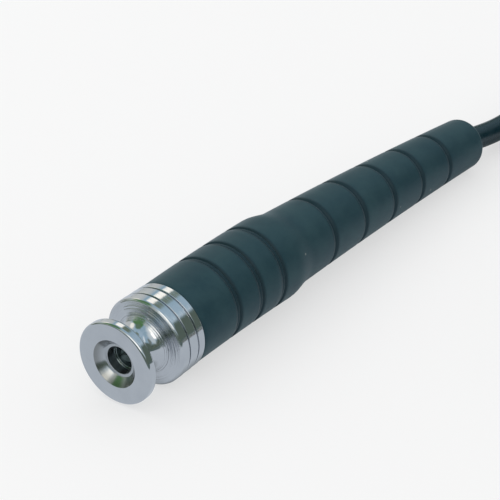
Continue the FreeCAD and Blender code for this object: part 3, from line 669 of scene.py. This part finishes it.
deselect()
bpy.ops.mesh.primitive_cube_add(size=1, location=lap_middle)
lap = bpy.context.object
lap.scale = (STRAP_T * MM, STRAP_W * MM, LAYER * MM)
bpy.ops.object.transform_apply(location=True, scale=True)
apply_modifier(lap, "BEVEL", width=0.2 * MM, segments=3)
deselect()
lap.select_set(True)
strap.select_set(True)
bpy.context.view_layer.objects.active = strap
bpy.ops.object.join()
smooth(strap)
print("strap faces:", len(strap.data.polygons))

# %% [markdown]
# ## Shader maths in plain expressions
#
# A finish is easier to read as a formula than as a drawing of nodes. Value wraps one socket,
# and adding or multiplying values adds the Math nodes. Any other node comes from one method.

# %% A small vocabulary for nodes


class Value:
    """A number, colour or vector that varies over a surface."""

    def __init__(self, recipe, socket):
        self.recipe = recipe
        self.socket = socket

    def math(self, operation, first, second=0.0):
        return self.recipe.node("ShaderNodeMath", {"operation": operation}, {0: first, 1: second})

    def __add__(self, other):
        return self.math("ADD", self, other)

    def __radd__(self, other):
        return self.math("ADD", other, self)

    def __sub__(self, other):
        return self.math("SUBTRACT", self, other)

    def __rsub__(self, other):
        return self.math("SUBTRACT", other, self)

    def __mul__(self, other):
        return self.math("MULTIPLY", self, other)

    def __rmul__(self, other):
        return self.math("MULTIPLY", other, self)

    def __truediv__(self, other):
        return self.math("DIVIDE", self, other)

    def __pow__(self, other):
        return self.math("POWER", self, other)

    def between(self, low, high):
        """0 below low and 1 above high, with a soft change between them."""
        settings = {"interpolation_type": "SMOOTHSTEP"}
        return self.recipe.node("ShaderNodeMapRange", settings, {0: self, 1: low, 2: high})


class Recipe:
    """Adds nodes to one node tree."""

    def __init__(self, tree):
        self.tree = tree

    def node(self, kind, settings=None, inputs=None, output=0):
        made = self.tree.nodes.new(kind)
        for name, value in (settings or {}).items():
            setattr(made, name, value)
        for key, value in (inputs or {}).items():
            if isinstance(value, Value):
                self.tree.links.new(value.socket, made.inputs[key])
            else:
                made.inputs[key].default_value = value
        return Value(self, made.outputs[output])

    def mix(self, factor, first, second):
        """From the first colour to the second."""
        pair = {6: opaque(first), 7: opaque(second), 0: factor}
        return self.node("ShaderNodeMix", {"data_type": "RGBA"}, pair, 2)

    def noise(self, vector, scale, detail=2.0, roughness=0.5):
        inputs = {"Vector": vector, "Scale": scale, "Detail": detail, "Roughness": roughness}
        return self.node("ShaderNodeTexNoise", {}, inputs)

    def line_noise(self, along, detail=2.0):
        """Noise that varies along one number only."""
        inputs = {"W": along, "Scale": 1.0, "Detail": detail}
        return self.node("ShaderNodeTexNoise", {"noise_dimensions": "1D"}, inputs)

    def split(self, vector):
        made = self.node("ShaderNodeSeparateXYZ", {}, {0: vector})
        outputs = made.socket.node.outputs
        return [Value(self, outputs[i]) for i in range(3)]


def opaque(colour):
    """A colour with its alpha, unless it is a value from a node."""
    return colour if isinstance(colour, Value) else (*colour, 1.0)


print("vocabulary ready")

# %% [markdown]
# ## Finishes
#
# Each finish starts from one Principled shader. What is the same all over is set on its
# socket, and what varies is worked out from the place on the object in metres.

# %% Start a finish


class Finish(Recipe):
    """A material with one Principled shader."""

    def __init__(self, name, **sockets):
        self.material = bpy.data.materials.new(name)
        self.material.use_nodes = True
        super().__init__(self.material.node_tree)
        self.shader = self.tree.nodes["Principled BSDF"]
        self.place = self.node("ShaderNodeTexCoord", {}, {}, "Object")
        for socket, value in sockets.items():
            self.set(socket.replace("_", " "), value)

    def set(self, socket, value):
        if isinstance(value, Value):
            self.tree.links.new(value.socket, self.shader.inputs[socket])
        elif isinstance(value, tuple):
            self.shader.inputs[socket].default_value = (*value, 1.0)
        else:
            self.shader.inputs[socket].default_value = value

    def relief(self, height, depth):
        """Bump with this depth in metres where the height is 1."""
        inputs = {"Height": height, "Distance": depth, "Strength": 1.0}
        self.set("Normal", self.node("ShaderNodeBump", {}, inputs))

    def along_axis(self, base, angle):
        """Length along a turned part's axis and distance from it, in millimetres."""
        turn = Matrix.Rotation(angle, 3, "Y")
        inputs = {"Vector": self.place, "Location": -(turn @ base), "Rotation": (0, angle, 0)}
        x, y, z = self.split(self.node("ShaderNodeMapping", {}, inputs))
        return x * (1 / MM), ((y * y + z * z) ** 0.5) * (1 / MM)


print("finishes can start")

# %% [markdown]
# Polished chrome is almost a mirror, so most of what it shows is the room. The turning marks
# stay visible on the shoulder behind the button: fine rings that smear the reflections into
# streaks. The disc's face has the same marks, but they are worn nearly smooth by thumbs.

# %% Polished chrome


def polished_chrome():
    chrome = Finish("polished_chrome", Metallic=1.0)
    x, r = chrome.along_axis(BUTTON_FACE, TILT)
    # Masks in millimetres: x is the way behind the button's face, r the distance from the axis
    shoulder = x.between(5.9, 7.2) * (1 - x.between(7.34, 7.46))
    fine = chrome.line_noise(r * 7.0 + x * 9.0, detail=3.0)
    broad = chrome.line_noise(r * 2.3 + x * 2.3, detail=1.0)
    smudge = chrome.noise(chrome.place, 260.0, 3.0)
    hole = 1 - r.between(2.6, 2.7)
    bore = hole * x.between(1.32, 1.40) * (1 - x.between(2.84, 2.90))
    sink = (1 - r.between(3.98, 4.08)) * x.between(0.0, 0.04) * (1 - x.between(1.33, 1.37))
    plate = chrome.mix(smudge.between(0.35, 0.75), (0.58, 0.60, 0.63), (0.54, 0.56, 0.59))
    # The countersink is painted darker towards its outer edge: painted shade in the recess.
    sink_painted_shade = chrome.mix(r.between(2.9, 3.9), (0.46, 0.48, 0.50), (0.29, 0.30, 0.30))
    plate = chrome.mix(sink, plate, sink_painted_shade)
    # From the relief inward, the hole's walls are painted darker and blue-green: painted shade deep in the
    # hole.
    chrome.set("Base Color", chrome.mix(hole * x.between(2.86, 2.92), plate, (0.46, 0.52, 0.52)))
    polish = 0.045 + smudge.between(0.45, 0.8) * 0.04
    chrome.set("Roughness", polish + shoulder * 0.05 + bore * 0.22 + sink * 0.15)
    marks = fine * (0.12 + x.between(7.6, 8.2) * 0.22 + shoulder * 1.5) + broad * shoulder * 5.5
    spread = r.math("MINIMUM", r.math("MAXIMUM", r, LIP_R), RING_R - 0.45) - LIP_R
    cone = spread * x.between(5.0, 6.0) * -0.24
    chrome.relief(marks * 0.022 + cone, MM)
    return chrome.material


CHROME = polished_chrome()
print("made", CHROME.name)

# %% [markdown]
# The grip is soft-touch rubber: very dark blue-green, with a velvety skin that scatters a grey
# bloom where the light grazes it. Handling leaves it slightly patchy, and a few specks of dust
# always stick to it.

# %% Soft-touch rubber


def soft_touch():
    rubber = Finish("soft_touch_rubber", Roughness=0.6)
    rubber.set("Specular IOR Level", 0.3)
    rubber.set("Sheen Weight", 0.17)
    rubber.set("Sheen Roughness", 0.35)
    rubber.set("Sheen Tint", (0.78, 0.92, 1.0))
    patches = rubber.noise(rubber.place, 150.0, 6.0, 0.65)
    grain = rubber.noise(rubber.place, 5200.0, 2.0)
    spread = {"Vector": rubber.place, "Scale": 260.0, "Randomness": 1.0}
    specks = rubber.node("ShaderNodeTexVoronoi", {"feature": "F1"}, spread)
    chosen = rubber.noise(rubber.place, 320.0, 1.0).between(0.60, 0.66)
    dust = (1 - specks.between(0.035, 0.075)) * chosen
    body = rubber.mix(patches.between(0.3, 0.7), (0.005, 0.035, 0.049), (0.015, 0.053, 0.065))
    # The rubber is painted darker in a soft band round each groove: painted shade in the grooves.
    clear = 1.0
    for s in FLAT_GROOVES + SOFT_GROOVES:
        x, drop, slope = centre_line(s)
        middle = LAY_HANDLE @ Vector((x * MM, 0, -drop * MM))
        length = rubber.along_axis(middle, TILT - slope)[0]
        clear = (length * length).between(0.25, 1.2) * clear
    body = rubber.mix(clear, (0.004, 0.026, 0.037), body)
    rubber.set("Base Color", rubber.mix(dust * 0.7, body, (0.35, 0.36, 0.34)))
    rubber.set("Roughness", 0.46 + patches * 0.12)
    rubber.relief(grain, 0.004 * MM)
    return rubber.material


GRIP_RUBBER = soft_touch()
print("made", GRIP_RUBBER.name)

# %% [markdown]
# The sheath is drawn plastic, half glossy and nearly black, with the grip's blue-green in it
# and faint unevenness from the die. The boot is plainer moulded rubber, matte and neutral.

# %% Sheath and boot


def cable_sheath():
    sheath = Finish("cable_sheath", Roughness=0.2)
    waves = sheath.noise(sheath.place, 420.0, 3.0)
    sheath.set("Base Color", sheath.mix(waves, (0.004, 0.020, 0.028), (0.008, 0.028, 0.037)))
    sheath.set("Roughness", 0.26 + waves.between(0.4, 0.8) * 0.14)
    sheath.set("Specular IOR Level", 0.3)
    sheath.relief(sheath.noise(sheath.place, 1500.0, 2.0), 0.006 * MM)
    return sheath.material


def moulded_rubber():
    rubber = Finish("moulded_rubber", Roughness=0.7)
    bloom = rubber.noise(rubber.place, 350.0, 3.0)
    body = rubber.mix(bloom.between(0.4, 0.8), (0.017, 0.017, 0.018), (0.035, 0.035, 0.036))
    rubber.set("Base Color", body)
    rubber.set("Roughness", 0.62 + bloom * 0.18)
    rubber.relief(rubber.noise(rubber.place, 6000.0, 2.0), 0.005 * MM)
    return rubber.material


SHEATH = cable_sheath()
BOOT_RUBBER = moulded_rubber()
print("made", SHEATH.name, BOOT_RUBBER.name)

# %% [markdown]
# Nickel plate is warmer than chrome and a little softer. Plain steel and brass inside the
# handle keep the cutter's marks, and the strap is woven, which a fine criss-cross of waves
# gives.

# %% Metals inside, nickel outside, and the strap


def turned_metal(name, light, dark, roughness, base, angle, marks_depth):
    """A turned metal with fine marks round its axis and a little tarnish."""
    metal = Finish(name, Metallic=1.0)
    x, r = metal.along_axis(base, angle)
    marks = metal.line_noise(r * 7.0 + x * 7.0, detail=3.0)
    tarnish = metal.noise(metal.place, 500.0, 3.0)
    metal.set("Base Color", metal.mix(tarnish.between(0.4, 0.8), light, dark))
    metal.set("Roughness", roughness + tarnish * 0.1)
    metal.relief(marks, marks_depth * MM)
    return metal.material


THREADS = 14000.0           # radians of the weave's waves in a metre


def woven_strap():
    webbing = Finish("woven_strap", Roughness=0.85)
    x, y, z = webbing.split(webbing.place)
    over = x.math("SINE", (x + z) * THREADS)
    under = y.math("SINE", y * THREADS)
    cloth = over * under
    fuzz = webbing.noise(webbing.place, 3000.0, 3.0)
    yarn = webbing.mix(cloth.between(-0.6, 0.8), (0.012, 0.012, 0.014), (0.045, 0.045, 0.05))
    webbing.set("Base Color", yarn)
    webbing.set("Sheen Weight", 0.3)
    webbing.relief(cloth * 0.5 + fuzz * 0.5, 0.06 * MM)
    return webbing.material


STEEL = turned_metal("plain_steel", (0.56, 0.56, 0.57), (0.42, 0.42, 0.43), 0.24, BUTTON_FACE, TILT, 0.004)
BRASS = turned_metal("turned_brass", (0.72, 0.55, 0.28), (0.55, 0.40, 0.19), 0.26, BUTTON_FACE, TILT, 0.004)
NICKEL = turned_metal("nickel_plate", (0.62, 0.61, 0.58), (0.53, 0.52, 0.49), 0.12, TIP_START, 0.0, 0.002)
STRAP = woven_strap()
FIBRE = Finish("buffer_fibre", Base_Color=(0.30, 0.13, 0.08), Roughness=0.8)
FIBRE.relief(FIBRE.noise(FIBRE.place, 4000.0, 3.0), 0.03 * MM)
print("made", STEEL.name, BRASS.name, NICKEL.name, STRAP.name, FIBRE.material.name)

# %% [markdown]
# ## Put the pieces on the model
#
# Each new piece rides on the body that it belongs to and stands for its solid, which is then
# hidden. The solids that stay get their finish by the record's list of materials.

# %% Dress the solids and attach the pieces
BY_SLOT = {
    "polished_chrome": CHROME,
    "soft_grip": GRIP_RUBBER,
    "cable_sheath": SHEATH,
    "plain_steel": STEEL,
    "turned_brass": BRASS,
    "nickel_plate": NICKEL,
    "black_rubber": BOOT_RUBBER,
    "buffer_fibre": FIBRE.material,
    "strap": STRAP,
}
SLOT_OF = {sub["node"]: sub["material_slot"] for sub in frame["record"]["subparts"]}


def dress(piece, material):
    piece.data.materials.clear()
    piece.data.materials.append(material)


for name, node in NODES.items():
    dress(node, BY_SLOT[SLOT_OF[name]])


def attach(piece, body, *nodes):
    """The piece rides on a body and stands for these solids."""
    dress(piece, BY_SLOT[SLOT_OF[nodes[0]]])
    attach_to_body(piece, body)
    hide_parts(*nodes)


attach(button, "button", "thumb_button")
attach(cap, "root", "front_cap")
attach(rings, "root", "ferrule")
attach(grip, "root", "grip_sleeve")
attach(spring, "root", "return_spring")
attach(cable, "root", "cable_lead", "cable_coil", "cable_tail")
attach(boot, "root", "tip_boot")
attach(crimped, "root", "tip_ferrule")
attach(collar, "swivel", "swivel_collar")
attach(strap, "root", "coil_tie")

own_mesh(spring)
print("pieces attached")

# %% [markdown]
# ## The table and the light
#
# The object lies on a plain pale table. One large soft lamp stands behind it on the left, so
# a soft shadow falls to the front, and the rest of the light comes evenly from all round. The
# chrome mirrors the table too. There the table is a plain blue-grey, darker beyond its front
# edge, with a painted shadow where the handle stands on it.

# %% Lay the table


def pale_table():
    bpy.ops.mesh.primitive_plane_add(size=3.0, location=(0, 0, 0))
    table = bpy.context.object
    table.name = "pale_table"
    paper = Finish("pale_table", Roughness=0.65)
    fibre = paper.noise(paper.place, 45.0, 4.0)
    rays = paper.node("ShaderNodeLightPath").socket.node.outputs
    sheet = paper.mix(fibre, (0.92, 0.92, 0.92), (0.94, 0.94, 0.94))
    mirrored = Value(paper, rays["Is Glossy Ray"])
    seen = Value(paper, rays["Is Camera Ray"])
    sheet = paper.mix(seen, sheet, (0.33, 0.33, 0.33))
    paper.set("Base Color", paper.mix(mirrored, sheet, (0.0, 0.0, 0.0)))
    x, y = paper.split(paper.place)[:2]
    front = x * -0.5 + y * -0.87 + (fibre - 0.5) * 0.02
    # Mirrors see a painted shadow on the table along the line where the handle stands on it.
    painted_handle_shadow = (1 - (y * y).between(0.000004, 0.00008)) * x.between(-0.0435, -0.0405)
    mirror_image = paper.mix(front.between(0.060, 0.078), (0.605, 0.650, 0.700), (0.10, 0.14, 0.13))
    mirror_image = paper.mix(painted_handle_shadow * 0.75, mirror_image, (0.10, 0.12, 0.12))
    glow = paper.mix(seen, (0.0, 0.0, 0.0), (0.59, 0.59, 0.59))
    paper.set("Emission Color", paper.mix(mirrored, glow, mirror_image))
    paper.set("Emission Strength", 1.0)
    paper.set("Specular IOR Level", 0.2)
    dress(table, paper.material)


deselect()
pale_table()
print("table laid")

# %% Hang the lamp


def soft_lamp(name, place, target, size, power):
    data = bpy.data.lights.new(name, "AREA")
    data.shape = "DISK"
    data.size = size
    data.energy = power
    lamp = bpy.data.objects.new(name, data)
    lamp.location = place
    lamp.rotation_euler = (Vector(target) - Vector(place)).to_track_quat("-Z", "Y").to_euler()
    lamp.visible_glossy = False
    bpy.context.scene.collection.objects.link(lamp)


soft_lamp("soft_lamp", (-0.10, 0.42, 0.50), (0, 0, 0), 0.40, 0.5)
print("lamp hung")

# %% [markdown]
# Chrome only looks like chrome when the room has something in it. The world is plain white to
# the camera and nearly white to matte surfaces. Mirrors see a hazy sky over a dark line of
# greenery, and a list of things in the room adds to it: a name, the compass direction and
# height of its middle in degrees, how far it reaches to the sides and upwards, how soft its
# edge is, and its colour.

# %% Paint the room that mirrors see
ROOM = [
    ("grey wall", -106, 40, 15, 26, 0.35, (0.74, 0.82, 0.84)),
    ("dark trunk", -80, 34, 9, 16, 0.30, (0.24, 0.28, 0.26)),
    ("hill", -50, 15, 30, 19, 0.22, (0.13, 0.17, 0.14)),
    ("gap in the haze", -46, 50, 7, 14, 0.30, (0.98, 1.06, 1.10)),
    ("dark treetops", 15, 55, 18, 9, 0.35, (0.22, 0.27, 0.20)),
    ("warm window", 32, 43, 10, 9, 0.30, (1.60, 1.52, 1.37)),
    ("pale curtain", 70, 20, 28, 30, 0.12, (0.72, 0.74, 0.72)),
    ("sun on the curtain", 80, 36, 17, 10, 0.30, (1.35, 1.28, 1.14)),
    ("green tree", 126, 46, 31, 27, 0.15, (0.13, 0.27, 0.11)),
    ("green canopy", 98, 64, 30, 14, 0.25, (0.16, 0.25, 0.16)),
    ("hedge", 126, 18, 22, 11, 0.40, (0.36, 0.42, 0.35)),
    ("sunlit wall", 166, 37, 12, 15, 0.35, (0.64, 0.64, 0.56)),
    ("glow round the window", -148, 48, 36, 22, 0.45, (0.95, 1.00, 1.00)),
    ("window", -157, 42, 22, 12, 0.15, (1.85, 1.78, 1.62)),
    ("open window", -134, 36, 15, 14, 0.15, (1.95, 1.90, 1.78)),
]


def build_world():
    world = bpy.data.worlds.new("studio_world")
    bpy.context.scene.world = world
    world.use_nodes = True
    tree = world.node_tree
    room = Recipe(tree)
    background = tree.nodes["Background"]
    look = room.node("ShaderNodeTexCoord", {}, {}, "Generated")
    x, y, z = room.split(look)
    compass = y.math("ARCTAN2", y, x) * DEGREES
    height = z.math("ARCSINE", z) * DEGREES
    edges = (room.noise(look, 9.0, 3.0) - 0.5) * 0.35

    def patch(azimuth, elevation, wide, tall, soft):
        """1 in an oval round a direction, fading to 0 at its ragged edge."""
        turn = {0: compass - azimuth, 1: 180.0, 2: -180.0}
        aside = room.node("ShaderNodeMath", {"operation": "WRAP"}, turn) / wide
        above = (height - elevation) / tall
        reach = (aside * aside + above * above) ** 0.5 + edges
        return 1 - reach.between(1 - soft, 1 + soft)

    clouds = room.noise(look, 2.6, 3.0)
    leaves = room.noise(look, 7.0, 3.0)
    high = room.mix(clouds.between(0.40, 0.62), (0.40, 0.56, 0.66), (0.49, 0.64, 0.75))
    low = room.mix(leaves.between(0.35, 0.65), (0.09, 0.12, 0.09), (0.18, 0.22, 0.18))
    colour = room.mix((height + edges * 12).between(12.0, 26.0), low, high)
    for _, azimuth, elevation, wide, tall, soft, tint in ROOM:
        colour = room.mix(patch(azimuth, elevation, wide, tall, soft), colour, tint)
    plain = room.mix(z.between(-0.2, 0.5), (0.90, 0.90, 0.90), (0.94, 0.94, 0.94))
    rays = room.node("ShaderNodeLightPath").socket.node.outputs
    mirrored = Value(room, rays["Is Glossy Ray"])
    seen = Value(room, rays["Is Camera Ray"])
    colour = room.mix(mirrored, plain, colour)
    colour = room.mix(seen, colour, (0.96, 0.96, 0.96))
    tree.links.new(colour.socket, background.inputs["Color"])
    background.inputs["Strength"].default_value = 1.0


build_world()
bpy.context.scene.view_settings.view_transform = "Standard"
print("world painted")
